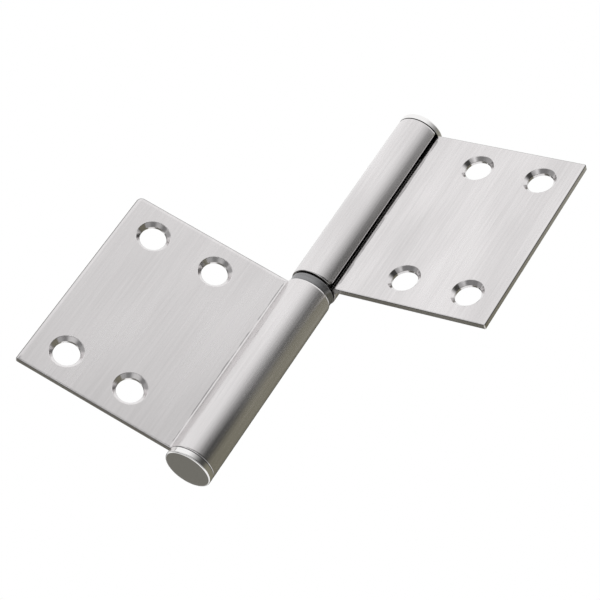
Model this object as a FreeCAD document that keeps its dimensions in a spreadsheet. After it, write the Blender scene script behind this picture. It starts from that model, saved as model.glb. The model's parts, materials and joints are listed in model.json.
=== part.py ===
import FreeCAD, Part
import math
import os

import Sketcher
from FreeCAD import Placement, Rotation, Vector

# Lift off hinge: two leaves of sheet steel on one pin, of which the upper lifts off.
# +Z is up along the pin and -Y is out of the lower leaf's countersunk face. The origin is
# the centre of the lower leaf's four screw holes, on the leaf's back face.

# Driving dimensions, in millimetres and degrees
SIZES = (
    ("leaf_length", 50.0, "each leaf, along the pin"),
    ("leaf_width", 44.0, "pin axis to a leaf's outer edge"),
    ("sheet", 1.5, "thickness of the leaves' sheet"),
    ("front_offset", 1.4, "pin axis to the plane of the front faces"),
    ("opening_angle", 152.8, "between the two front faces at rest"),
    ("knuckle_radius", 5.5, "outside of a rolled knuckle"),
    ("lower_bend", 0.6, "lower leaf, inside of the bend between plate and knuckle"),
    ("upper_bend", 1.0, "upper leaf, inside of the bend between plate and knuckle"),
    ("lower_seam", 0.35, "lower leaf, rolled end to the back of its own bend"),
    ("upper_seam", 0.7, "upper leaf, rolled end to the back of its own bend"),
    ("seam_round", 0.35, "outer corner of the rolled end"),
    ("edge_break", 0.2, "sheared edges, broken at 45 degrees"),
    ("large_corner", 1.3, "the lower leaf's one large corner"),
    ("small_corner", 0.3, "the other outer corners"),
    ("hole_diameter", 6.0, "screw hole"),
    ("sink_diameter", 7.7, "countersink at the front face"),
    ("sink_angle", 90.0, "countersink, from side to side"),
    ("hole_edge", 8.1, "outer edge to the nearer holes"),
    ("hole_spacing", 16.0, "between holes, across a leaf"),
    ("hole_end", 7.35, "leaf's upper and lower ends to the nearer holes"),
    ("knuckle_gap", 2.4, "between the knuckles' facing ends"),
    ("ring_play", 0.3, "free height above the thrust ring"),
    ("ring_inset", 0.3, "thrust ring's outside, in from the knuckles' on the radius"),
    ("ring_clearance", 0.08, "thrust ring over the pin, on the radius"),
    ("ring_chamfer", 0.15, "thrust ring's outer edges"),
    ("pin_clearance", 0.05, "pin in the upper knuckle, on the radius"),
    ("pin_chamfer", 0.5, "pin's pressed end"),
    ("nose_height", 1.6, "taper of the pin's free end, along the pin"),
    ("nose_inset", 1.0, "taper of the pin's free end, on the radius"),
    ("head_height", 1.65, "end plug's head"),
    ("head_chamfer", 0.35, "rim of the head's face"),
    ("head_break", 0.12, "head's edge against the knuckle"),
    ("stem_length", 6.0, "end plug's stem inside the knuckle"),
    ("stem_chamfer", 0.4, "end of the stem"),
)
TINY = 1e-6

doc = FreeCAD.newDocument("lift_off_hinge")
sheet = doc.addObject("Spreadsheet::Sheet", "Sizes")
for row, (alias, number, note) in enumerate(SIZES, start=1):
    sheet.set("A%d" % row, note)
    sheet.set("B%d" % row, str(number))
    sheet.setAlias("B%d" % row, alias)
doc.recompute()


class Size:
    """A number from the sheet together with the expression that ties a feature to it."""

    def __init__(self, number, text):
        self.number = number
        self.text = text

    @classmethod
    def named(cls, alias):
        return cls(float(sheet.get(alias)), "Sizes." + alias)

    def joined(self, sign, other):
        mark = "-+"[sign > 0]
        return Size(self.number + sign * other.number, "%s %s (%s)" % (self.text, mark, other.text))

    def __add__(self, other):
        return self.joined(1, other)

    def __sub__(self, other):
        return self.joined(-1, other)

    def __mul__(self, factor):
        return Size(self.number * factor, "%s * (%s)" % (factor, self.text))

    def __neg__(self):
        return self * -1


leaf_length = Size.named("leaf_length")
leaf_width = Size.named("leaf_width")
sheet_wall = Size.named("sheet")
front_offset = Size.named("front_offset")
knuckle_radius = Size.named("knuckle_radius")
hole_spacing = Size.named("hole_spacing")
knuckle_gap = Size.named("knuckle_gap")

# Places and fits that follow from the driving dimensions
bore_radius = knuckle_radius - sheet_wall
running_radius = bore_radius - Size.named("pin_clearance")
stem_length = Size.named("stem_length")
pin_x = leaf_width - Size.named("hole_edge") - hole_spacing * 0.5
pin_y = front_offset - sheet_wall
lower_top = leaf_length * 0.5
lower_bottom = -lower_top
upper_middle = leaf_length + knuckle_gap
upper_top = upper_middle + leaf_length * 0.5


def feature_of(body, role):
    """One of the body's own origin planes or axes, found by its role."""
    return next(item for item in body.Origin.OriginFeatures if item.Role == role)


def new_body(name):
    """An empty body whose label names the piece."""
    body = doc.addObject("PartDesign::Body", name)
    body.Label = name
    return body


def new_sketch(body, name, role):
    """A sketch on one of the body's origin planes."""
    sketch = body.newObject("Sketcher::SketchObject", "%s_%s" % (body.Name, name))
    sketch.AttachmentSupport = [(feature_of(body, role), "")]
    sketch.MapMode = "FlatFace"
    return sketch


def tie(sketch, kind, *places, size):
    """A dimension of the sketch, tied to a size. A negative one is measured the other way."""
    if size.number < 0:
        places = places[2:] + places[:2]
        size = -size
    index = sketch.addConstraint(Sketcher.Constraint(kind, *places, size.number))
    sketch.setExpression("Constraints[%d]" % index, size.text)


def place(body, height, turn=None):
    """Puts a body on the pin's axis at a height, turned about the pin if asked."""
    if turn is not None:
        body.Placement = Placement(Vector(), Rotation(Vector(0, 0, 1), 1))
        body.setExpression("Placement.Rotation.Angle", turn)
    body.setExpression("Placement.Base.x", pin_x.text)
    body.setExpression("Placement.Base.y", pin_y.text)
    body.setExpression("Placement.Base.z", height.text)


def dress_edges(body, kind, name, size, test):
    """A fillet or a chamfer over the edges of the body that pass a test."""
    doc.recompute()
    base = body.Tip
    names = ["Edge%d" % count for count, edge in enumerate(base.Shape.Edges, start=1) if test(edge)]
    dressing = body.newObject("PartDesign::" + kind, "%s_%s" % (body.Name, name))
    dressing.Base = (base, names)
    dressing.setExpression({"Fillet": "Radius", "Chamfer": "Size"}[kind], size.text)


# Leaves
def rolled_section(body, front, bend_radius, seam_gap):
    """The leaf's section across the pin: a plate, a bend towards +Y and the roll round the pin.

    The plate's countersunk face looks to +Y where front is 1 and to -Y where it is -1. The
    roll leaves a narrow seam behind its own bend.
    """
    outer = knuckle_radius.number
    wall = sheet_wall.number
    bend = bend_radius.number
    width = leaf_width.number
    near_y = front_offset.number if front > 0 else wall - front_offset.number
    bend_y = near_y + bend
    bend_x = math.sqrt((outer + bend) ** 2 - bend_y ** 2)
    seam_reach = bend_radius + sheet_wall + seam_gap
    start = math.atan2(bend_y, bend_x)
    missing = ((outer + bend) ** 2 + outer ** 2 - seam_reach.number ** 2) / (2 * outer * (outer + bend))
    end = start + 2 * math.pi - math.acos(missing)

    def arc(x, y, radius, first, last):
        return Part.ArcOfCircle(Part.Circle(Vector(x, y, 0), Vector(0, 0, 1), radius), first, last)

    def line(first, last):
        return Part.LineSegment(Vector(*first, 0), Vector(*last, 0))

    def at(radius, angle):
        return radius * math.cos(angle), radius * math.sin(angle)

    sketch = new_sketch(body, "section", "XY_Plane")
    near = sketch.addGeometry(line((width, near_y), (bend_x, near_y)))
    inside = sketch.addGeometry(arc(bend_x, bend_y, bend, start + math.pi, 1.5 * math.pi))
    roll = sketch.addGeometry(arc(0, 0, outer, start, end))
    seam = sketch.addGeometry(line(at(outer, end), at(outer - wall, end)))
    bore = sketch.addGeometry(arc(0, 0, outer - wall, start, end))
    outside = sketch.addGeometry(arc(bend_x, bend_y, bend + wall, start + math.pi, 1.5 * math.pi))
    far = sketch.addGeometry(line((bend_x, near_y - wall), (width, near_y - wall)))
    edge = sketch.addGeometry(line((width, near_y - wall), (width, near_y)))
    joins = (
        ("Tangent", near, 2, inside, 2),
        ("Tangent", inside, 1, roll, 1),
        ("Coincident", roll, 2, seam, 1),
        ("Coincident", seam, 2, bore, 2),
        ("Tangent", bore, 1, outside, 1),
        ("Tangent", outside, 2, far, 1),
        ("Coincident", far, 2, edge, 1),
        ("Coincident", edge, 2, near, 1),
        ("Coincident", roll, 3, -1, 1),
        ("Coincident", bore, 3, roll, 3),
        ("Coincident", outside, 3, inside, 3),
        ("PointOnObject", -1, 1, seam),
        ("Horizontal", near),
        ("Vertical", edge),
    )
    for join in joins:
        sketch.addConstraint(Sketcher.Constraint(*join))
    tie(sketch, "Radius", roll, size=knuckle_radius)
    tie(sketch, "Radius", bore, size=bore_radius)
    tie(sketch, "Radius", inside, size=bend_radius)
    tie(sketch, "DistanceX", -1, 1, edge, 1, size=leaf_width)
    tie(sketch, "Distance", roll, 2, inside, 3, size=seam_reach)
    front_line, front_end = (near, 1) if front > 0 else (far, 2)
    tie(sketch, "DistanceY", -1, 1, front_line, front_end, size=front_offset * front)
    return sketch


def screw_holes(body, front):
    """Four countersunk holes, drilled from the front face and sunk there."""
    sketch = new_sketch(body, "hole_centres", "XZ_Plane")
    sketch.setExpression("AttachmentOffset.Base.z", (front_offset * -front).text)
    diameter = Size.named("hole_diameter")
    for across in (0, 1):
        for side in (-1, 1):
            x = leaf_width - Size.named("hole_edge") - hole_spacing * across
            z = (leaf_length * 0.5 - Size.named("hole_end")) * side
            circle = Part.Circle(Vector(x.number, z.number, 0), Vector(0, 0, 1), diameter.number / 2)
            hole = sketch.addGeometry(circle)
            tie(sketch, "Diameter", hole, size=diameter)
            tie(sketch, "DistanceX", -1, 1, hole, 3, size=x)
            tie(sketch, "DistanceY", -1, 1, hole, 3, size=z)
    doc.recompute()
    holes = body.newObject("PartDesign::Hole", body.Name + "_screw_holes")
    holes.Profile = sketch
    holes.ThreadType = "None"
    holes.DepthType = "ThroughAll"
    holes.HoleCutType = "Countersink"
    holes.HoleCutCustomValues = True
    holes.Reversed = front > 0
    holes.setExpression("Diameter", "Sizes.hole_diameter")
    holes.setExpression("HoleCutDiameter", "Sizes.sink_diameter")
    holes.setExpression("HoleCutCountersinkAngle", "Sizes.sink_angle")


def end_points(edge):
    """The two end points of an edge."""
    return edge.Vertexes[0].Point, edge.Vertexes[-1].Point


def radius_of(point):
    """A point's distance from the pin's axis."""
    return math.hypot(point.x, point.y)


def outer_corner(height):
    """Tests for the short edge through the sheet at an outer corner of the leaf."""
    def test(edge):
        first, last = end_points(edge)
        level = max(abs(first.z - height), abs(last.z - height)) < TINY
        return level and min(first.x, last.x) > leaf_width.number - TINY
    return test


def rolled_end(edge):
    """Tests for the long outer corner of the rolled end."""
    first, last = end_points(edge)
    along = abs(abs(last.z - first.z) - leaf_length.number) < TINY
    outermost = abs(radius_of(first) - knuckle_radius.number) < TINY
    return along and outermost and first.y < 0 < first.x


def sheared(edge):
    """Tests for the rims of the leaf's upper and lower ends, but not across the rolled end."""
    first, last = end_points(edge)
    at_end = max(abs(abs(point.z) - lower_top.number) for point in (first, last)) < TINY
    straight = edge.Curve.TypeId == "Part::GeomLine"
    across_roll = straight and max(radius_of(first), radius_of(last)) < knuckle_radius.number + TINY
    return at_end and not across_roll


def leaf(name, front, bend_radius, seam_gap, upper_corner):
    """A stamped leaf, rolled at its inner edge, that reaches out along +X from the pin's axis."""
    body = new_body(name)
    pad = body.newObject("PartDesign::Pad", name + "_sheet")
    pad.Profile = rolled_section(body, front, bend_radius, seam_gap)
    pad.SideType = "Symmetric"
    pad.setExpression("Length", leaf_length.text)
    doc.recompute()
    screw_holes(body, front)
    dress_edges(body, "Fillet", "upper_corner", upper_corner, outer_corner(lower_top.number))
    dress_edges(body, "Fillet", "lower_corner", Size.named("small_corner"), outer_corner(lower_bottom.number))
    dress_edges(body, "Fillet", "rolled_end", Size.named("seam_round"), rolled_end)
    dress_edges(body, "Chamfer", "sheared_edges", Size.named("edge_break"), sheared)
    return body


# Turned pieces
def turned(name, corners):
    """A piece turned about the pin's axis from an outline of (radius, height) corners."""
    body = new_body(name)
    sketch = new_sketch(body, "outline", "XZ_Plane")
    points = [Vector(radius.number, height.number, 0) for radius, height in corners]
    lines = [
        sketch.addGeometry(Part.LineSegment(point, points[(count + 1) % len(points)]))
        for count, point in enumerate(points)
    ]
    for count, (radius, height) in enumerate(corners):
        sketch.addConstraint(Sketcher.Constraint("Coincident", lines[count - 1], 2, lines[count], 1))
        for kind, axis, size in (("DistanceX", -2, radius), ("DistanceY", -1, height)):
            if abs(size.number) < TINY:
                sketch.addConstraint(Sketcher.Constraint("PointOnObject", lines[count], 1, axis))
            else:
                tie(sketch, kind, -1, 1, lines[count], 1, size=size)
    turning = body.newObject("PartDesign::Revolution", name + "_turning")
    turning.Profile = sketch
    turning.ReferenceAxis = (feature_of(body, "Z_Axis"), [""])
    turning.Angle = 360
    return body


def pintle_pin():
    """The pin: a tight half in the lower knuckle and a running half that stands above it."""
    zero = leaf_length * 0
    chamfer = Size.named("pin_chamfer")
    bottom = stem_length - leaf_length
    top = upper_middle - stem_length
    return turned("pintle_pin", (
        (zero, bottom),
        (bore_radius - chamfer, bottom),
        (bore_radius, bottom + chamfer),
        (bore_radius, zero),
        (running_radius, zero),
        (running_radius, top - Size.named("nose_height")),
        (running_radius - Size.named("nose_inset"), top),
        (zero, top),
    ))


def thrust_ring():
    """The loose ring that the pin passes through, between the two knuckles."""
    zero = leaf_length * 0
    inner = running_radius + Size.named("ring_clearance")
    outer = knuckle_radius - Size.named("ring_inset")
    chamfer = Size.named("ring_chamfer")
    height = knuckle_gap - Size.named("ring_play")
    return turned("thrust_ring", (
        (inner, zero),
        (outer - chamfer, zero),
        (outer, chamfer),
        (outer, height - chamfer),
        (outer - chamfer, height),
        (inner, height),
    ))


def end_plug(name):
    """A plug with a head as wide as the knuckle and a stem pressed into its bore.

    The head hangs below height 0 and the stem stands above it.
    """
    zero = leaf_length * 0
    face = -Size.named("head_height")
    edge_break = Size.named("head_break")
    rim = Size.named("head_chamfer")
    chamfer = Size.named("stem_chamfer")
    return turned(name, (
        (zero, face),
        (knuckle_radius - rim, face),
        (knuckle_radius, face + rim),
        (knuckle_radius, -edge_break),
        (knuckle_radius - edge_break, zero),
        (bore_radius, zero),
        (bore_radius, stem_length - chamfer),
        (bore_radius - chamfer, stem_length),
        (zero, stem_length),
    ))


lower_leaf = leaf(
    "lower_leaf", front=1, bend_radius=Size.named("lower_bend"),
    seam_gap=Size.named("lower_seam"), upper_corner=Size.named("large_corner"))
place(lower_leaf, leaf_length * 0, turn="180")

upper_leaf = leaf(
    "upper_leaf", front=-1, bend_radius=Size.named("upper_bend"),
    seam_gap=Size.named("upper_seam"), upper_corner=Size.named("small_corner"))
place(upper_leaf, upper_middle, turn="Sizes.opening_angle - 180")

pin = pintle_pin()
place(pin, lower_top)

ring = thrust_ring()
place(ring, lower_top)

lower_plug = end_plug("lower_end_plug")
place(lower_plug, lower_bottom)

upper_plug = end_plug("upper_end_plug")
upper_plug.Placement = Placement(Vector(), Rotation(Vector(1, 0, 0), 180))
place(upper_plug, upper_top)

doc.recompute()

# Checks and export
pieces = (lower_leaf, upper_leaf, pin, ring, lower_plug, upper_plug)
for item in doc.Objects:
    if "Invalid" in item.State or "Error" in item.State:
        raise RuntimeError("%s could not be built: %s" % (item.Label, item.State))
for piece in pieces:
    if piece.Shape.isNull() or not piece.Shape.isValid():
        raise RuntimeError(piece.Label + " has no valid shape")

os.makedirs("parts", exist_ok=True)
for piece in pieces:
    piece.Shape.exportStep(os.path.join("parts", piece.Label + ".step"))
    print("%-16s %9.2f mm3" % (piece.Label, piece.Shape.Volume))
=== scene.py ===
import json
import math

import bmesh
import bpy
import numpy as np
from mathutils import Matrix, Vector


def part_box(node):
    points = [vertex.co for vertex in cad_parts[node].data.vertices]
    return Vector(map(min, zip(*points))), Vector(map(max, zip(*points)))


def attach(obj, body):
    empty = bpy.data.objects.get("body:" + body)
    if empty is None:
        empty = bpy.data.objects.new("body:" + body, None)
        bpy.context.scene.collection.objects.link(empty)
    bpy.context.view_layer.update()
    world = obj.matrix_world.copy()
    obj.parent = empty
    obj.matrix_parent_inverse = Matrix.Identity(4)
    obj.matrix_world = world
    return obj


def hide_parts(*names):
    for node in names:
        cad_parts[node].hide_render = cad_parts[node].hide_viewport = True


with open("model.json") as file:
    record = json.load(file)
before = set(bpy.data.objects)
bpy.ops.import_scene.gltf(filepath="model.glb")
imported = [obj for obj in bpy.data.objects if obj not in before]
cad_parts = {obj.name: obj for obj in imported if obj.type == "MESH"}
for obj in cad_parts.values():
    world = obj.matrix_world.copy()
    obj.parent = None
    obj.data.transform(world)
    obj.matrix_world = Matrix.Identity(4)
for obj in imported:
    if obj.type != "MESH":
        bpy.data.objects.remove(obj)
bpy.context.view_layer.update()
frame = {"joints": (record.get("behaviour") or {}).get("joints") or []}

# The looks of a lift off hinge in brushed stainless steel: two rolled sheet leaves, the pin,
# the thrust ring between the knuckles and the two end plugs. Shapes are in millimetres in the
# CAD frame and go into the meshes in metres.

MM = 0.001


def span(node):
    """Lowest and highest corner of a CAD node, in millimetres."""
    low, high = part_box(node)
    return np.array(low) / MM, np.array(high) / MM


swing = next(joint for joint in frame["joints"] if joint["name"] == "swing")
PIN_X, PIN_Y = (place / MM for place in swing["pos_m"][:2])

# Sizes taken from the frame
lower_low, lower_high = span("lower_leaf")
upper_low, upper_high = span("upper_leaf")
ring_low, ring_high = span("thrust_ring")
pin_low, pin_high = span("pintle_pin")
lower_plug_low, lower_plug_high = span("lower_end_plug")
upper_plug_low, upper_plug_high = span("upper_end_plug")
LEAF_LENGTH = lower_high[2] - lower_low[2]
LEAF_WIDTH = PIN_X - lower_low[0]
KNUCKLE_RADIUS = lower_high[0] - PIN_X
RING_RADIUS = (ring_high[0] - ring_low[0]) / 2

# Sheet leaves
SHEET = 1.5
HALF_SHEET = SHEET / 2
FRONT_OFFSET = 1.4
OPENING = 152.8
LOWER_BEND, LOWER_SEAM = 0.6, 0.35
UPPER_BEND, UPPER_SEAM = 1.0, 0.7
FRONT_ROLL_OVER = (0.9, 0.22)
BACK_ROLL_OVER = (0.5, 0.2)
# The roll-over is this part as wide along the plate's lower side and at the knuckle's ends
LOWER_SIDE_SHARE, KNUCKLE_END_SHARE = 0.35, 0.5
# How far the ragged line of the bend's start reaches
CREASE_WIDTH = 0.3
LARGE_CORNER = 1.3
SMALL_CORNER = 0.42
FRAME_WIDTH = 1.5
HOLE_RADIUS = 3.0
SINK_RADIUS = 3.85
HOLE_EDGE = 8.1
HOLE_SPACING = 16.0
HOLE_END = 7.35
SINK_ROUNDS = (0.16, 0.08, 0.08)
HOLE_CELL = 5.0
HOLE_STEPS = 24
CORNER_STEPS = 9
ROLL_OVER_STEPS = 11
# The rim's first step inside the roll-over, and the plate just before the bend
RIM_STEP = 0.05
BEND_LEAD = 0.5

# The leaves' attribute "cut", which tells their material what lies at a point
BEND_LINE, SKIN, DRILLED, SHEARED = -1.0, 0.0, 0.3, 1.0

# Turned pieces
BORE_RADIUS = KNUCKLE_RADIUS - SHEET
RUNNING_RADIUS = BORE_RADIUS - 0.05
RING_BORE = RUNNING_RADIUS + 0.08
RING_ROUND = 0.2
NOSE_ROUND = 1.5
HEAD_ROUND = 0.4
HEAD_BREAK = 0.12
STEM_CHAMFER = 0.4
TURNED_STEPS = 144


# Shapes
def rounded(corners, radii, steps=5, hold=0.05):
    """A line through corners with each corner rounded to its radius.

    Formula: the arc's centre lies on the corner's bisector at radius / sin(half angle), and
    the arc begins and ends radius / tan(half angle) from the corner. One more point a little
    before and after each arc holds the flat sides flat.
    """
    corners = np.array(corners, float)
    points = [corners[:1]]
    for before, corner, after, radius in zip(corners, corners[1:], corners[2:], radii):
        back = (before - corner) / np.linalg.norm(before - corner)
        onward = (after - corner) / np.linalg.norm(after - corner)
        half = math.acos(np.clip(back @ onward, -1, 1)) / 2
        reach = radius / math.tan(half)
        bisector = (back + onward) / np.linalg.norm(back + onward)
        centre = corner + bisector * radius / math.sin(half)
        first, last = (corner + side * reach - centre for side in (back, onward))
        start = math.atan2(first[1], first[0])
        turn = (math.atan2(last[1], last[0]) - start + math.pi) % (2 * math.pi) - math.pi
        angles = start + turn * np.linspace(0, 1, steps)
        arc = centre + radius * np.stack([np.cos(angles), np.sin(angles)], axis=1)
        holds = [corner + side * (reach + hold) for side in (back, onward)]
        points += [holds[:1], arc, holds[1:]]
    return np.concatenate(points + [corners[-1:]])


def turned(profile):
    """A surface of revolution about the pin's axis.

    Formula: x = pin x + radius(u) * cos(v), y = pin y + radius(u) * sin(v), z = height(u).
    """
    angles = np.linspace(0, 2 * math.pi, TURNED_STEPS + 1)
    radius, height = profile[:, 0, None], profile[:, 1, None]
    x = PIN_X + radius * np.cos(angles)
    y = PIN_Y + radius * np.sin(angles)
    return [(np.stack([x, y, np.broadcast_to(height, x.shape)], axis=-1), None, None)]


def leaf_path(near, bend_radius, seam_gap):
    """Lengths along the middle of a leaf's sheet, and the function from a length to a place.

    Formula: a straight plate, then an arc of the bend, then an arc of the roll about the
    pin's axis, which ends where the seam's gap to the back of the bend is left. The function
    gives the place and the unit normal on the roll's outer side. near is the distance of the
    plate's face on that side from the pin's axis.
    """
    bend_middle = bend_radius + HALF_SHEET
    roll_middle = KNUCKLE_RADIUS - HALF_SHEET
    bend_centre_y = near + bend_radius
    bend_centre_x = math.sqrt((KNUCKLE_RADIUS + bend_radius) ** 2 - bend_centre_y ** 2)
    start = math.atan2(bend_centre_y, bend_centre_x)
    centres = KNUCKLE_RADIUS + bend_radius
    seam_reach = bend_radius + SHEET + seam_gap
    missing = (centres ** 2 + KNUCKLE_RADIUS ** 2 - seam_reach ** 2) / (2 * centres * KNUCKLE_RADIUS)
    end = start + 2 * math.pi - math.acos(missing)
    plate_end = LEAF_WIDTH - bend_centre_x
    bend_end = plate_end + bend_middle * (math.pi / 2 - start)
    roll_end = bend_end + roll_middle * (end - start)

    def place(length):
        along_bend = 1.5 * math.pi - (length - plate_end) / bend_middle
        along_roll = start + (length - bend_end) / roll_middle
        on_plate = length <= plate_end
        on_roll = length >= bend_end
        angle = np.where(on_roll, along_roll, along_bend + math.pi)
        normal_x = np.where(on_plate, 0.0, np.cos(angle))
        normal_y = np.where(on_plate, 1.0, np.sin(angle))
        bend_x = bend_centre_x - bend_middle * normal_x
        bend_y = bend_centre_y - bend_middle * normal_y
        x = np.where(on_roll, roll_middle * normal_x, bend_x)
        y = np.where(on_roll, roll_middle * normal_y, bend_y)
        x = np.where(on_plate, LEAF_WIDTH - length, x)
        y = np.where(on_plate, near - HALF_SHEET, y)
        return x, y, normal_x, normal_y

    return plate_end, bend_end, roll_end, place


def rise(value, low, high):
    """0 below low and 1 above high, with a smooth rise between."""
    part = np.clip((value - low) / (high - low), 0, 1)
    return part * part * (3 - 2 * part)


def stations(*parts):
    """Values in rising order from (first, last, count) stretches that follow each other."""
    ends = [np.linspace(first, last, count + 1)[:-1] for first, last, count in parts]
    return np.concatenate(ends + [np.array([parts[-1][1]])])


def round_the_edge(columns, rows, repeats):
    """The outline of a rectangle of stations, with each corner given so many times."""
    low, high = np.full(rows.size, columns[0]), np.full(rows.size, columns[-1])
    bottom, top = np.full(columns.size, rows[0]), np.full(columns.size, rows[-1])
    corners = [
        (columns[-1], rows[0]), (columns[-1], rows[-1]),
        (columns[0], rows[-1]), (columns[0], rows[0]),
    ]
    corners = [np.repeat([corner], repeats, axis=0).reshape(repeats, 2) for corner in corners]
    sides = [
        np.stack([columns, bottom], axis=1), corners[0],
        np.stack([high, rows], axis=1), corners[1],
        np.stack([columns[::-1], top], axis=1), corners[2],
        np.stack([low, rows[::-1]], axis=1), corners[3],
    ]
    return np.concatenate(sides)


def rim_loop(columns, rows, length, inset, radii, steps):
    """The leaf's plan outline, moved in by an inset.

    Formula: straight sides at the inset and, at each corner, a quarter circle about the
    centre of the corner's round, whose radius is less by the inset and never below nothing.
    """
    half = LEAF_LENGTH / 2
    quarter = np.linspace(0, math.pi / 2, steps)
    reach = np.maximum(radii, inset)
    spots = [
        (length - reach[0], reach[0] - half, -math.pi / 2, reach[0]),
        (length - reach[1], half - reach[1], 0.0, reach[1]),
        (reach[2], half - reach[2], math.pi / 2, reach[2]),
        (reach[3], reach[3] - half, math.pi, reach[3]),
    ]
    arcs = [
        np.stack([
            x + (radius - inset) * np.cos(start + quarter),
            z + (radius - inset) * np.sin(start + quarter),
        ], axis=1)
        for x, z, start, radius in spots
    ]
    bottom = np.stack([columns, np.full(columns.size, inset - half)], axis=1)
    high = np.stack([np.full(rows.size, length - inset), rows], axis=1)
    top = np.stack([columns[::-1], np.full(columns.size, half - inset)], axis=1)
    low = np.stack([np.full(rows.size, inset), rows[::-1]], axis=1)
    return np.concatenate([bottom, arcs[0], high, arcs[1], top, arcs[2], low, arcs[3]])


def narrowed(distance, share):
    """A distance from the outline, less by a share inside the roll-over and made up outside."""
    rim = FRONT_ROLL_OVER[0] + RIM_STEP
    outer = rim * share + (distance - rim) * (FRAME_WIDTH - rim * share) / (FRAME_WIDTH - rim)
    return np.where(distance < rim, distance * share, np.where(distance < FRAME_WIDTH, outer, distance))


def closed(loops):
    """Adds the first point of each loop after its last."""
    return np.concatenate([loops, loops[:, :1]], axis=1)


def leaf_surfaces(near, bend_radius, seam_gap, sink_side, large_corner_at, turn, height):
    """The whole skin of one leaf.

    Formula: every point is middle(s) + offset * normal(s) at its height z, where s runs along
    the section from the plate's outer edge to the rolled end. The offset is half the sheet on
    the two skins and falls by a quarter ellipse towards the plan outline. Round each screw
    hole, rings run from a square of the skin's own points over the countersink's rim, down
    the cone and through the land to the square on the other skin.
    """
    plate_end, bend_end, roll_end, place = leaf_path(near, bend_radius, seam_gap)
    cells = [HOLE_EDGE, HOLE_EDGE + HOLE_SPACING]
    levels = [HOLE_END - LEAF_LENGTH / 2, LEAF_LENGTH / 2 - HOLE_END]
    columns = stations(
        (FRAME_WIDTH, cells[0] - HOLE_CELL, 2),
        (cells[0] - HOLE_CELL, cells[0] + HOLE_CELL, HOLE_STEPS),
        (cells[0] + HOLE_CELL, cells[1] - HOLE_CELL, 8),
        (cells[1] - HOLE_CELL, cells[1] + HOLE_CELL, HOLE_STEPS),
        (cells[1] + HOLE_CELL, plate_end - BEND_LEAD, 8),
        (plate_end - BEND_LEAD, plate_end, 3),
        (plate_end, bend_end, 12),
        (bend_end, roll_end - FRAME_WIDTH, 110),
    )
    rows = stations(
        (FRAME_WIDTH - LEAF_LENGTH / 2, levels[0] - HOLE_CELL, 2),
        (levels[0] - HOLE_CELL, levels[0] + HOLE_CELL, HOLE_STEPS),
        (levels[0] + HOLE_CELL, levels[1] - HOLE_CELL, 20),
        (levels[1] - HOLE_CELL, levels[1] + HOLE_CELL, HOLE_STEPS),
        (levels[1] + HOLE_CELL, LEAF_LENGTH / 2 - FRAME_WIDTH, 2),
    )
    angle = math.radians(turn)

    def solid(plan, offset):
        x, y, normal_x, normal_y = place(plan[..., 0])
        x = x + offset * normal_x
        y = y + offset * normal_y
        return np.stack([
            PIN_X + x * math.cos(angle) - y * math.sin(angle),
            PIN_Y + x * math.sin(angle) + y * math.cos(angle),
            height + plan[..., 1],
        ], axis=-1)

    def near_hole(s, z):
        inside = np.zeros(s.shape, bool)
        for hole_s in cells:
            for hole_z in levels:
                inside |= (abs(s - hole_s) < HOLE_CELL) & (abs(z - hole_z) < HOLE_CELL)
        return inside

    middle_s = (columns[1:] + columns[:-1]) / 2
    middle_z = (rows[1:] + rows[:-1]) / 2
    keep = ~near_hole(*np.meshgrid(middle_s, middle_z, indexing="ij"))
    plan = np.stack(np.meshgrid(columns, rows, indexing="ij"), axis=-1)
    crease = BEND_LINE * np.exp(-((plan[..., 0] - plate_end) / CREASE_WIDTH) ** 2)
    surfaces = [
        (solid(plan, side * HALF_SHEET), keep, crease if side == sink_side else None)
        for side in (1, -1)
    ]

    # The rim, from the inner rectangle on one skin round the edge to that on the other
    corner_radii = [SMALL_CORNER] * 4
    corner_radii[large_corner_at] = LARGE_CORNER
    quarter = np.linspace(math.pi / 2, 0, ROLL_OVER_STEPS)
    insets, offsets, cuts = [], [], []
    for side in (1, -1):
        width, depth = FRONT_ROLL_OVER if side == sink_side else BACK_ROLL_OVER
        inset = np.concatenate([[width + RIM_STEP], width - width * np.cos(quarter), [0]])
        fall = np.concatenate([[0], depth - depth * np.sin(quarter), [depth + RIM_STEP]])
        cut = np.concatenate([[SKIN], SHEARED - quarter / quarter[0], [SHEARED]])
        insets.append(inset[::side])
        offsets.append(side * (HALF_SHEET - fall)[::side])
        cuts.append(cut[::side])
    inner = round_the_edge(columns, rows, CORNER_STEPS)
    rim_loops = [
        rim_loop(columns, rows, roll_end, inset, corner_radii, CORNER_STEPS)
        for inset in np.concatenate(insets)
    ]
    loops = closed(np.stack([inner, *rim_loops, inner]))
    offset = np.concatenate([[HALF_SHEET], *offsets, [-HALF_SHEET]])[:, None]
    cut = np.concatenate([[SKIN], *cuts, [SKIN]])[:, None]

    # A narrower roll-over along the plate's lower side and at the knuckle's ends
    s = loops[..., 0]
    on_roll = rise(s, plate_end - 2, plate_end + 1)
    at_roll_end = rise(s, roll_end - 4, roll_end - 2)
    for end, plate_share in ((-1, LOWER_SIDE_SHARE), (1, 1)):
        share = plate_share + (KNUCKLE_END_SHARE - plate_share) * on_roll
        share = share + (1 - share) * at_roll_end
        from_end = LEAF_LENGTH / 2 - end * loops[..., 1]
        loops[..., 1] = end * (LEAF_LENGTH / 2 - narrowed(from_end, share))
    # Inside the seam the cut value climbs to twice that of a cut edge, which the material paints nearly
    # black as shade
    in_seam_painted_shade = s > roll_end - FRAME_WIDTH / 2
    surfaces.append((solid(loops, offset), None, cut + cut ** 8 * in_seam_painted_shade))

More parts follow.
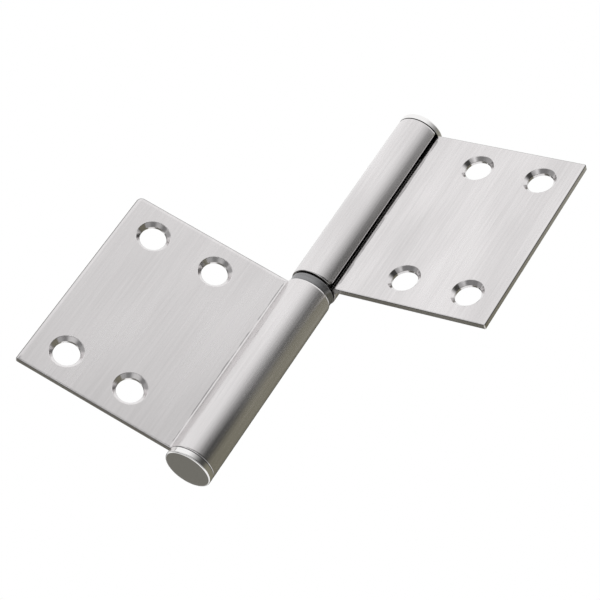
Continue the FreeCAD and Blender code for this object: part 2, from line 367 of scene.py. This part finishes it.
    # The screw holes. Counted from 0, the rings from 3 to the fourth last lie in the hole, and
    # those from 9 to 13 on its land.
    depth = SINK_RADIUS - HOLE_RADIUS
    profile = rounded([
        (HOLE_CELL, 0),
        (SINK_RADIUS, 0),
        (HOLE_RADIUS, depth),
        (HOLE_RADIUS, SHEET),
        (HOLE_CELL, SHEET),
    ], SINK_ROUNDS)
    for hole_s in cells:
        for hole_z in levels:
            in_cell_s = columns[abs(columns - hole_s) < HOLE_CELL + 1e-6]
            in_cell_z = rows[abs(rows - hole_z) < HOLE_CELL + 1e-6]
            square = round_the_edge(in_cell_s, in_cell_z, 0)
            turns = np.linspace(0, HOLE_STEPS, HOLE_STEPS + 1) / HOLE_STEPS
            turns = np.concatenate([side + turns for side in range(4)]) * math.pi / 2 - 0.75 * math.pi
            ring = np.stack([np.cos(turns), np.sin(turns)], axis=1)
            rings = np.array([hole_s, hole_z]) + profile[1:-1, 0, None, None] * ring
            loops = closed(np.concatenate([square[None], rings, square[None]]))
            offset = sink_side * (HALF_SHEET - profile[:, 1, None])
            sunk = np.full(loops.shape[:2], SKIN)
            sunk[3:-3] = DRILLED
            # On both borders of the land the material paints a thin nearly black line of shade, as on
            # every cut edge
            sunk[9:14] = SHEARED
            surfaces.append((solid(loops, offset), None, sunk))
    return surfaces


def hinge_piece(name, surfaces, node, body, finish):
    """Joins grids of points into one closed smooth mesh that stands for a CAD node.

    Each grid comes with the faces to keep and the attribute "cut" of its points: BEND_LINE
    where the bend starts, SKIN on the sheet, DRILLED in a countersink, SHEARED on a cut edge
    and up to twice that inside the seam, where the material paints the steel nearly black as
    shade.
    """
    vertices, faces, cuts, first = [], [], [], 0
    for points, keep, cut in surfaces:
        rows, columns = points.shape[:2]
        index = first + np.arange(rows * columns).reshape(rows, columns)
        quads = np.stack([index[:-1, :-1], index[1:, :-1], index[1:, 1:], index[:-1, 1:]], axis=-1)
        quads = quads.reshape(-1, 4) if keep is None else quads[keep]
        vertices.append(points.reshape(-1, 3) * MM)
        cuts.append(np.zeros(rows * columns) if cut is None else cut.ravel())
        faces.append(quads)
        first += rows * columns
    mesh = bpy.data.meshes.new(name)
    mesh.from_pydata(np.concatenate(vertices).tolist(), [], np.concatenate(faces).tolist())
    mesh.attributes.new("cut", "FLOAT", "POINT").data.foreach_set("value", np.concatenate(cuts))
    build = bmesh.new()
    build.from_mesh(mesh)
    bmesh.ops.remove_doubles(build, verts=build.verts, dist=1e-7)
    loose = [vertex for vertex in build.verts if not vertex.link_faces]
    bmesh.ops.delete(build, geom=loose, context="VERTS")
    bmesh.ops.recalc_face_normals(build, faces=build.faces)
    build.to_mesh(mesh)
    build.free()
    mesh.shade_smooth()
    mesh.materials.append(finish)
    piece = bpy.data.objects.new(name, mesh)
    bpy.context.scene.collection.objects.link(piece)
    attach(piece, body)
    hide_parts(node)
    return piece


# Shading written as arithmetic
class Number:
    """A socket's value. Arithmetic on it adds Math nodes."""

    def __init__(self, nodes, socket):
        self.nodes = nodes
        self.socket = socket

    def math(self, operation, *values):
        return self.nodes.add("ShaderNodeMath", {"operation": operation}, dict(enumerate(values)))

    def __add__(self, other):
        return self.math("ADD", self, other)

    def __radd__(self, other):
        return self.math("ADD", other, self)

    def __sub__(self, other):
        return self.math("SUBTRACT", self, other)

    def __rsub__(self, other):
        return self.math("SUBTRACT", other, self)

    def __mul__(self, other):
        return self.math("MULTIPLY", self, other)

    def __rmul__(self, other):
        return self.math("MULTIPLY", other, self)


class Nodes:
    """A node tree that is filled by expressions."""

    def __init__(self, tree):
        self.tree = tree
        tree.nodes.clear()

    def add(self, kind, settings, inputs, output=0):
        """Adds one node: its settings first, then the values or links of its sockets."""
        node = self.tree.nodes.new(kind)
        for name, setting in settings.items():
            setattr(node, name, setting)
        for name, value in inputs.items():
            if isinstance(value, Number):
                self.tree.links.new(value.socket, node.inputs[name])
            else:
                node.inputs[name].default_value = value
        return Number(self, node.outputs[output]) if len(node.outputs) else None

    def place(self):
        """Object coordinates, in metres."""
        return self.add("ShaderNodeTexCoord", {}, {}, "Object")

    def stretched(self, place, factors):
        """A place with each axis multiplied by its factor."""
        return self.add("ShaderNodeVectorMath", {"operation": "MULTIPLY"}, {0: place, 1: factors})

    def noise(self, place, detail=2.0, roughness=0.5):
        """Smooth noise between 0 and 1, one cell to a unit of the place."""
        sockets = {"Vector": place, "Scale": 1.0, "Detail": detail, "Roughness": roughness}
        return self.add("ShaderNodeTexNoise", {}, sockets)

    def between(self, factor, first, second):
        """A colour mixed from two, each a colour or the output of a node."""
        first, second = (side if isinstance(side, Number) else (*side, 1.0) for side in (first, second))
        return self.add("ShaderNodeMix", {"data_type": "RGBA"}, {0: factor, 6: first, 7: second}, 2)

    def smooth(self, value, low, high, first=0.0, last=1.0):
        """Rises smoothly from first to last while the value goes from low to high."""
        sockets = {"Value": value, "From Min": low, "From Max": high, "To Min": first, "To Max": last}
        return self.add("ShaderNodeMapRange", {"interpolation_type": "SMOOTHSTEP"}, sockets)

    def raised(self, height, distance):
        """A normal turned by the slope of a height, where 1 stands for the distance in metres."""
        return self.add("ShaderNodeBump", {}, {"Strength": 1.0, "Distance": distance, "Height": height})

    def steel(self, colour, roughness, normal):
        """Bare metal, to the material's output."""
        sockets = {"Metallic": 1.0, "Base Color": colour, "Roughness": roughness, "Normal": normal}
        shader = self.add("ShaderNodeBsdfPrincipled", {}, sockets)
        self.add("ShaderNodeOutputMaterial", {}, {"Surface": shader})


def material(name):
    """A new material and its empty node tree."""
    made = bpy.data.materials.new(name)
    made.use_nodes = True
    return made, Nodes(made.node_tree)


SHEET_DARK, SHEET_BRIGHT = (0.65, 0.632, 0.634), (0.84, 0.818, 0.821)
CREASE_GREY = (0.42, 0.41, 0.412)
# The first is painted shade, a nearly black line where an edge's rounding turns into the cut face; the
# second is the cut face's own colour
EDGE_LINE_PAINTED_SHADE, EDGE_BRIGHT = (0.07, 0.068, 0.065), (0.62, 0.6, 0.57)
# Painted shade, nearly black, inside the seams and in the groove round each pressed-in head
SEAM_PAINTED_SHADE, GROOVE_PAINTED_SHADE = (0.01, 0.01, 0.01), (0.02, 0.02, 0.02)
# The band of painted shade outside a pressed-in head's seat fades between these distances
GROOVE_SHADE_FADE = (0.1 * MM, 0.18 * MM)


def brushed_sheet():
    """Brushed sheet steel.

    Fine scratches along the pin, some longer and wider ones, and a slow unevenness of the
    sheet. A ragged line marks the start of the bend. Drilled walls are smoother. Sheared edges
    are darker up to their middle: where each edge's rounding turns into the cut face a nearly
    black line is painted shade, and the inside of the seam is painted nearly black as shade.
    """
    made, nodes = material("brushed_sheet_steel")
    place = nodes.place()
    cut = nodes.add("ShaderNodeAttribute", {"attribute_name": "cut"}, {}, "Fac")
    fine = nodes.noise(nodes.stretched(place, (6000, 6000, 150)), 2.0, 0.5)
    broad = nodes.noise(nodes.stretched(place, (1700, 1700, 45)), 2.0, 0.5)
    wave = nodes.noise(nodes.stretched(place, (600, 600, 12)), 1.0)
    cloud = nodes.noise(nodes.stretched(place, (90, 90, 30)), 1.0)
    scratches = fine * 0.4 + broad * 0.6
    mix = nodes.smooth(scratches * 0.45 + cloud * 0.55, 0.25, 0.75)
    sheet = nodes.between(mix, SHEET_DARK, SHEET_BRIGHT)
    ragged = nodes.noise(nodes.stretched(place, (1200, 1200, 260)), 2.0)
    crease = nodes.smooth((0.0 - cut) * (ragged * 1.6), 0.45, 0.75)
    sheet = nodes.between(crease, sheet, CREASE_GREY)
    sheared = nodes.smooth(cut, 0.5, 0.75)
    drilled = nodes.smooth(cut, SKIN, 0.25) - sheared
    # Painted shade: a nearly black line where each edge's rounding turns into the cut face, and the
    # inside of the seam painted nearly black
    edge = nodes.between(nodes.smooth(cut, 0.88, SHEARED), EDGE_LINE_PAINTED_SHADE, EDGE_BRIGHT)
    edge = nodes.between(nodes.smooth(cut, SHEARED, 1.6), edge, SEAM_PAINTED_SHADE)
    colour = nodes.between(sheared, sheet, edge)
    roughness = 0.18 + mix * 0.12 - drilled * 0.1
    height = (fine * 0.1 + broad * 0.2 + wave * 0.7) * (1 - drilled) * (1 - sheared * 0.7)
    nodes.steel(colour, roughness, nodes.raised(height, 8.0e-6))
    return made


def turned_steel(name, dark, bright, roughness, marks, depth, seats=None):
    """Turned steel: tool marks that run round the pin's axis on sides and faces alike.

    Formula: the noise reads only the distance from the axis and the height, so it is the same
    all the way round. Between two seats, given by their heights, and just outside them the
    steel is painted nearly black: painted shade, for the shade deep in the groove round a
    pressed-in head.
    """
    made, nodes = material(name)
    place = nodes.place()
    from_axis = nodes.add(
        "ShaderNodeVectorMath", {"operation": "SUBTRACT"}, {0: place, 1: (PIN_X * MM, PIN_Y * MM, 0.0)})
    flat = nodes.stretched(from_axis, (1.0, 1.0, 0.0))
    radius = nodes.add("ShaderNodeVectorMath", {"operation": "LENGTH"}, {0: flat}, 1)
    height = nodes.add("ShaderNodeSeparateXYZ", {}, {0: place}, 2)
    ringed = nodes.add("ShaderNodeCombineXYZ", {}, {0: radius * marks, 1: height * marks})
    lines = nodes.noise(ringed, 3.0, 0.6)
    cloud = nodes.noise(nodes.stretched(place, (150, 150, 150)), 1.0)
    colour = nodes.between(lines * 0.6 + cloud * 0.4, dark, bright)
    # Painted shade: nearly black between the seats and in a thin band just outside them, for the groove
    # round a pressed-in head
    if seats:
        from_middle = height.math("ABSOLUTE", height - (seats[0] + seats[1]) / 2 * MM)
        outside = from_middle - (seats[1] - seats[0]) / 2 * MM
        colour = nodes.between(nodes.smooth(outside, *GROOVE_SHADE_FADE), GROOVE_PAINTED_SHADE, colour)
    nodes.steel(colour, roughness + lines * 0.1, nodes.raised(lines, depth))
    return made


# Pieces
leaf_steel = brushed_sheet()
# The plugs are painted nearly black as shade between the knuckles' ends and in a thin band of each head
# just outside them
plug_steel = turned_steel(
    "turned_plug_steel", dark=(0.84, 0.83, 0.825), bright=(0.96, 0.95, 0.945),
    roughness=0.08, marks=3000, depth=4.0e-7, seats=(lower_low[2], upper_high[2]))
ring_steel = turned_steel(
    "turned_ring_steel", dark=(0.08, 0.08, 0.082), bright=(0.46, 0.46, 0.47),
    roughness=0.28, marks=2600, depth=3.0e-6)
# The pin's steel is painted dark as shade, so that it shows black through the seams
pin_dark_painted_shade = turned_steel(
    "pin_painted_shade", dark=(0.16, 0.158, 0.155), bright=(0.26, 0.257, 0.25),
    roughness=0.2, marks=9000, depth=5.0e-7)

lower_middle = (lower_low[2] + lower_high[2]) / 2
upper_middle = (upper_low[2] + upper_high[2]) / 2
knuckle_foot, knuckle_top = lower_low[2], upper_high[2]
ring_foot, ring_top = ring_low[2], ring_high[2]
ring_middle = (ring_foot + ring_top) / 2
stem_end, upper_stem_end = lower_plug_high[2], upper_plug_low[2]
# The pin ends just short of the plug above it, so that the two faces don't lie in one plane
PIN_CLEARANCE = 0.02
pin_top = pin_high[2] - PIN_CLEARANCE

lower_leaf = leaf_surfaces(FRONT_OFFSET, LOWER_BEND, LOWER_SEAM, 1, 2, 180, lower_middle)
upper_leaf = leaf_surfaces(
    SHEET - FRONT_OFFSET, UPPER_BEND, UPPER_SEAM, -1, 0, OPENING - 180, upper_middle)
pintle_pin = turned(rounded([
    (0, pin_low[2]),
    (BORE_RADIUS, pin_low[2]),
    (BORE_RADIUS, lower_high[2]),
    (RUNNING_RADIUS, lower_high[2]),
    (RUNNING_RADIUS, pin_top),
    (0, pin_top),
], [STEM_CHAMFER, 0.01, 0.01, NOSE_ROUND], steps=9))
thrust_ring = turned(rounded([
    (RING_BORE, ring_middle),
    (RING_BORE, ring_foot),
    (RING_RADIUS, ring_foot),
    (RING_RADIUS, ring_top),
    (RING_BORE, ring_top),
    (RING_BORE, ring_middle),
], [RING_ROUND] * 4))


def end_plug(face, seat, stem_end):
    """A plug's head from its face to its seat on the knuckle, and its stem inside."""
    return turned(rounded([
        (0, face),
        (KNUCKLE_RADIUS, face),
        (KNUCKLE_RADIUS, seat),
        (BORE_RADIUS, seat),
        (BORE_RADIUS, stem_end),
        (0, stem_end),
    ], [HEAD_ROUND, HEAD_BREAK, 0.05, STEM_CHAMFER], steps=7))


hinge_piece("lower_leaf_skin", lower_leaf, "lower_leaf", "lower", leaf_steel)
hinge_piece("upper_leaf_skin", upper_leaf, "upper_leaf", "upper", leaf_steel)
hinge_piece("pintle_pin_turned", pintle_pin, "pintle_pin", "lower", pin_dark_painted_shade)
hinge_piece("thrust_ring_turned", thrust_ring, "thrust_ring", "ring", ring_steel)
hinge_piece(
    "lower_end_plug_turned", end_plug(lower_plug_low[2], knuckle_foot, stem_end),
    "lower_end_plug", "lower", plug_steel)
hinge_piece(
    "upper_end_plug_turned", end_plug(upper_plug_high[2], knuckle_top, upper_stem_end),
    "upper_end_plug", "upper", plug_steel)


# Floor and light, in metres and degrees
FLOOR_HEIGHT, FLOOR_HALF = -0.32, 3.0
FLOOR_SIDES = ((-1, -1), (1, -1), (1, 1), (-1, 1))
FLOOR_PAINT = (0.9, 0.9, 0.9)
WHITE = (1.0, 1.0, 1.0)
BLACK, GREY = (0.01, 0.01, 0.01), (0.06, 0.06, 0.057)
OLIVE, PALE_OLIVE = (0.11, 0.105, 0.085), (0.22, 0.21, 0.163)
# The cards: how far the one at the side stands, how high the two on the floor lie, and the
# elevations where they begin and end
CARD_DISTANCE = 2.4
LIFT_IN_FRONT, LIFT_BEHIND = 0.001, 0.003
STRAIGHT_DOWN, HORIZON, HIGH_UP = -89, -5, 75
CARD_AZIMUTHS = np.linspace(-210, 150, 181)
CARD_ROWS = 61
FAINTEST = 0.001
PATCH_AZIMUTH, PATCH_ELEVATION = 104, -36


def stage_sheet(name, points, faces, shader):
    """A flat sheet of the studio, in metres."""
    mesh = bpy.data.meshes.new(name)
    mesh.from_pydata(points, [], faces)
    made, nodes = material(name)
    nodes.add("ShaderNodeOutputMaterial", {}, {"Surface": shader(nodes)})
    mesh.materials.append(made)
    sheet = bpy.data.objects.new(name, mesh)
    bpy.context.scene.collection.objects.link(sheet)
    return sheet


def between_sides(azimuth, low, high, feather):
    """1 between two azimuths, with smooth sides that lie inside them, in degrees."""
    return rise(azimuth, low, low + feather) * (1 - rise(azimuth, high - feather, high))


def darkness_in_front(azimuth, elevation):
    """Grey low in front of the hinge and further out at both sides, paler below it."""
    in_front = between_sides(azimuth, -200, -12, 16) * (1 - rise(elevation, -38, -25))
    at_sides = between_sides(azimuth, -204, -150, 12) + between_sides(azimuth, -90, -6, 20)
    darkness = 1 - (1 - in_front) * (1 - at_sides * 0.8)
    return darkness * (0.3 + 0.47 * rise(elevation, -62, -48))


def darkness_behind(azimuth, elevation):
    """A round patch behind the hinge, which the plugs and the lower edges show."""
    from_middle = np.hypot((azimuth - PATCH_AZIMUTH) * 0.88, elevation - PATCH_ELEVATION)
    return 0.93 * (1 - rise(from_middle, 16, 32))


def directions(azimuth, elevation):
    """Unit directions from the hinge, as x, y and z."""
    turn, climb = np.radians(azimuth), np.radians(elevation)
    return np.cos(climb) * np.cos(turn), np.cos(climb) * np.sin(turn), np.sin(climb)


def darkness_at_side(azimuth, elevation):
    """Dark on the upper leaf's side of the room and behind the hinge, clear further up."""
    x, y, z = directions(azimuth, elevation)
    behind = rise(x * 0.087 + y * 0.996, 0.68, 0.8)
    return 1 - rise(z * 0.907 - x * 0.42 - behind * 0.4, 0.12, 0.6)


def olive_share(azimuth, elevation):
    """0 in front and 1 towards the far right, where a card takes its second colour."""
    x, y, z = directions(azimuth, elevation)
    return rise(x * 0.9 + y * 0.42, 0.35, 0.8)


def to_floor(elevations, lift):
    """Distances from the hinge to a level just above the floor."""
    return (FLOOR_HEIGHT + lift) / np.sin(np.radians(elevations))


def dark_card(name, elevations, distance, darkness, colour, far_colour):
    """A dark card in the studio, which shows in the steel's reflections and nowhere else.

    Formula: each point lies at its distance from the hinge along its direction, and how dark
    the card is there, and how much of its second colour it has, are functions of azimuth and
    elevation. It fades to the room's white at its edge and ends there.
    """
    azimuth, elevation = np.meshgrid(CARD_AZIMUTHS, elevations, indexing="ij")
    x, y, z = directions(azimuth, elevation)
    points = [x * distance + PIN_X * MM, y * distance + PIN_Y * MM, z * distance]
    values = {"dark": darkness(azimuth, elevation), "far": olive_share(azimuth, elevation)}
    index = np.arange(azimuth.size).reshape(azimuth.shape)
    quads = np.stack([index[:-1, :-1], index[1:, :-1], index[1:, 1:], index[:-1, 1:]], axis=-1)
    quads = quads[values["dark"].ravel()[quads].max(axis=-1) > FAINTEST]

    def shader(nodes):
        dark, far = (
            nodes.add("ShaderNodeAttribute", {"attribute_name": attribute}, {}, "Fac")
            for attribute in values
        )
        shade = nodes.between(dark, WHITE, nodes.between(far, colour, far_colour))
        return nodes.add("ShaderNodeEmission", {}, {"Color": shade, "Strength": 1.0})

    places = np.stack(points, axis=-1).reshape(-1, 3)
    card = stage_sheet(name, places.tolist(), quads.tolist(), shader)
    for attribute, value in values.items():
        card.data.attributes.new(attribute, "FLOAT", "POINT").data.foreach_set("value", value.ravel())
    card.visible_camera = False
    card.visible_diffuse = False
    card.visible_shadow = False


def pale_floor(nodes):
    """White paint, whose own shadows fade into the room's white further out.

    Camera, glossy and transmission rays all see that white.
    """
    seen = nodes.add("ShaderNodeLightPath", {}, {}, "Is Camera Ray")
    seen += nodes.add("ShaderNodeLightPath", {}, {}, "Is Glossy Ray")
    seen += nodes.add("ShaderNodeLightPath", {}, {}, "Is Transmission Ray")
    distance = nodes.add("ShaderNodeVectorMath", {"operation": "LENGTH"}, {0: nodes.place()}, 1)
    white = nodes.smooth(distance, 0.5, 1.6, 0.75, 1.0)
    paint = nodes.add("ShaderNodeBsdfDiffuse", {}, {"Color": (*FLOOR_PAINT, 1.0)})
    glow = nodes.add("ShaderNodeEmission", {}, {"Color": (*WHITE, 1.0), "Strength": 1.0})
    return nodes.add("ShaderNodeMixShader", {}, {0: seen * white, 1: paint, 2: glow})


floor_corners = [(x * FLOOR_HALF, y * FLOOR_HALF, FLOOR_HEIGHT) for x, y in FLOOR_SIDES]
stage_sheet("floor", floor_corners, [(0, 1, 2, 3)], pale_floor)
below = np.linspace(STRAIGHT_DOWN, HORIZON, CARD_ROWS)
above = np.linspace(HORIZON, HIGH_UP, CARD_ROWS)
dark_card("card_in_front", below, to_floor(below, LIFT_IN_FRONT), darkness_in_front, BLACK, BLACK)
dark_card("card_behind", below, to_floor(below, LIFT_BEHIND), darkness_behind, OLIVE, OLIVE)
dark_card("card_at_side", above, CARD_DISTANCE, darkness_at_side, GREY, PALE_OLIVE)

# The room is white all round, for the camera and for the steel alike
world = bpy.data.worlds.new("studio_room")
bpy.context.scene.world = world
world.use_nodes = True
room = Nodes(world.node_tree)
glow = room.add("ShaderNodeBackground", {}, {"Color": (*WHITE, 1.0), "Strength": 1.0})
room.add("ShaderNodeOutputWorld", {}, {"Surface": glow})

# The photograph's camera
CAMERA_AT = Vector((0.104345, -0.434353, -0.233796))
CAMERA_RIGHT = Vector((0.858755, -0.138661, 0.493268))
CAMERA_DOWN = Vector((0.489456, 0.506766, -0.709663))
SENSOR = 36.0
FOCAL_PIXELS, IMAGE_PIXELS = 2310.81, 600
CAMERA_REACH = (0.01, 20.0)
camera_data = bpy.data.cameras.new("camera")
camera_data.sensor_width = SENSOR
camera_data.lens = SENSOR * FOCAL_PIXELS / IMAGE_PIXELS
camera = bpy.data.objects.new("camera", camera_data)
bpy.context.scene.collection.objects.link(camera)
camera_back = CAMERA_RIGHT.cross(-CAMERA_DOWN)
turn = Matrix((CAMERA_RIGHT, -CAMERA_DOWN, camera_back)).transposed()
camera.matrix_world = Matrix.Translation(CAMERA_AT) @ turn.to_4x4()
camera_data.clip_start, camera_data.clip_end = CAMERA_REACH
bpy.context.scene.camera = camera
bpy.context.scene.view_settings.view_transform = "Standard"
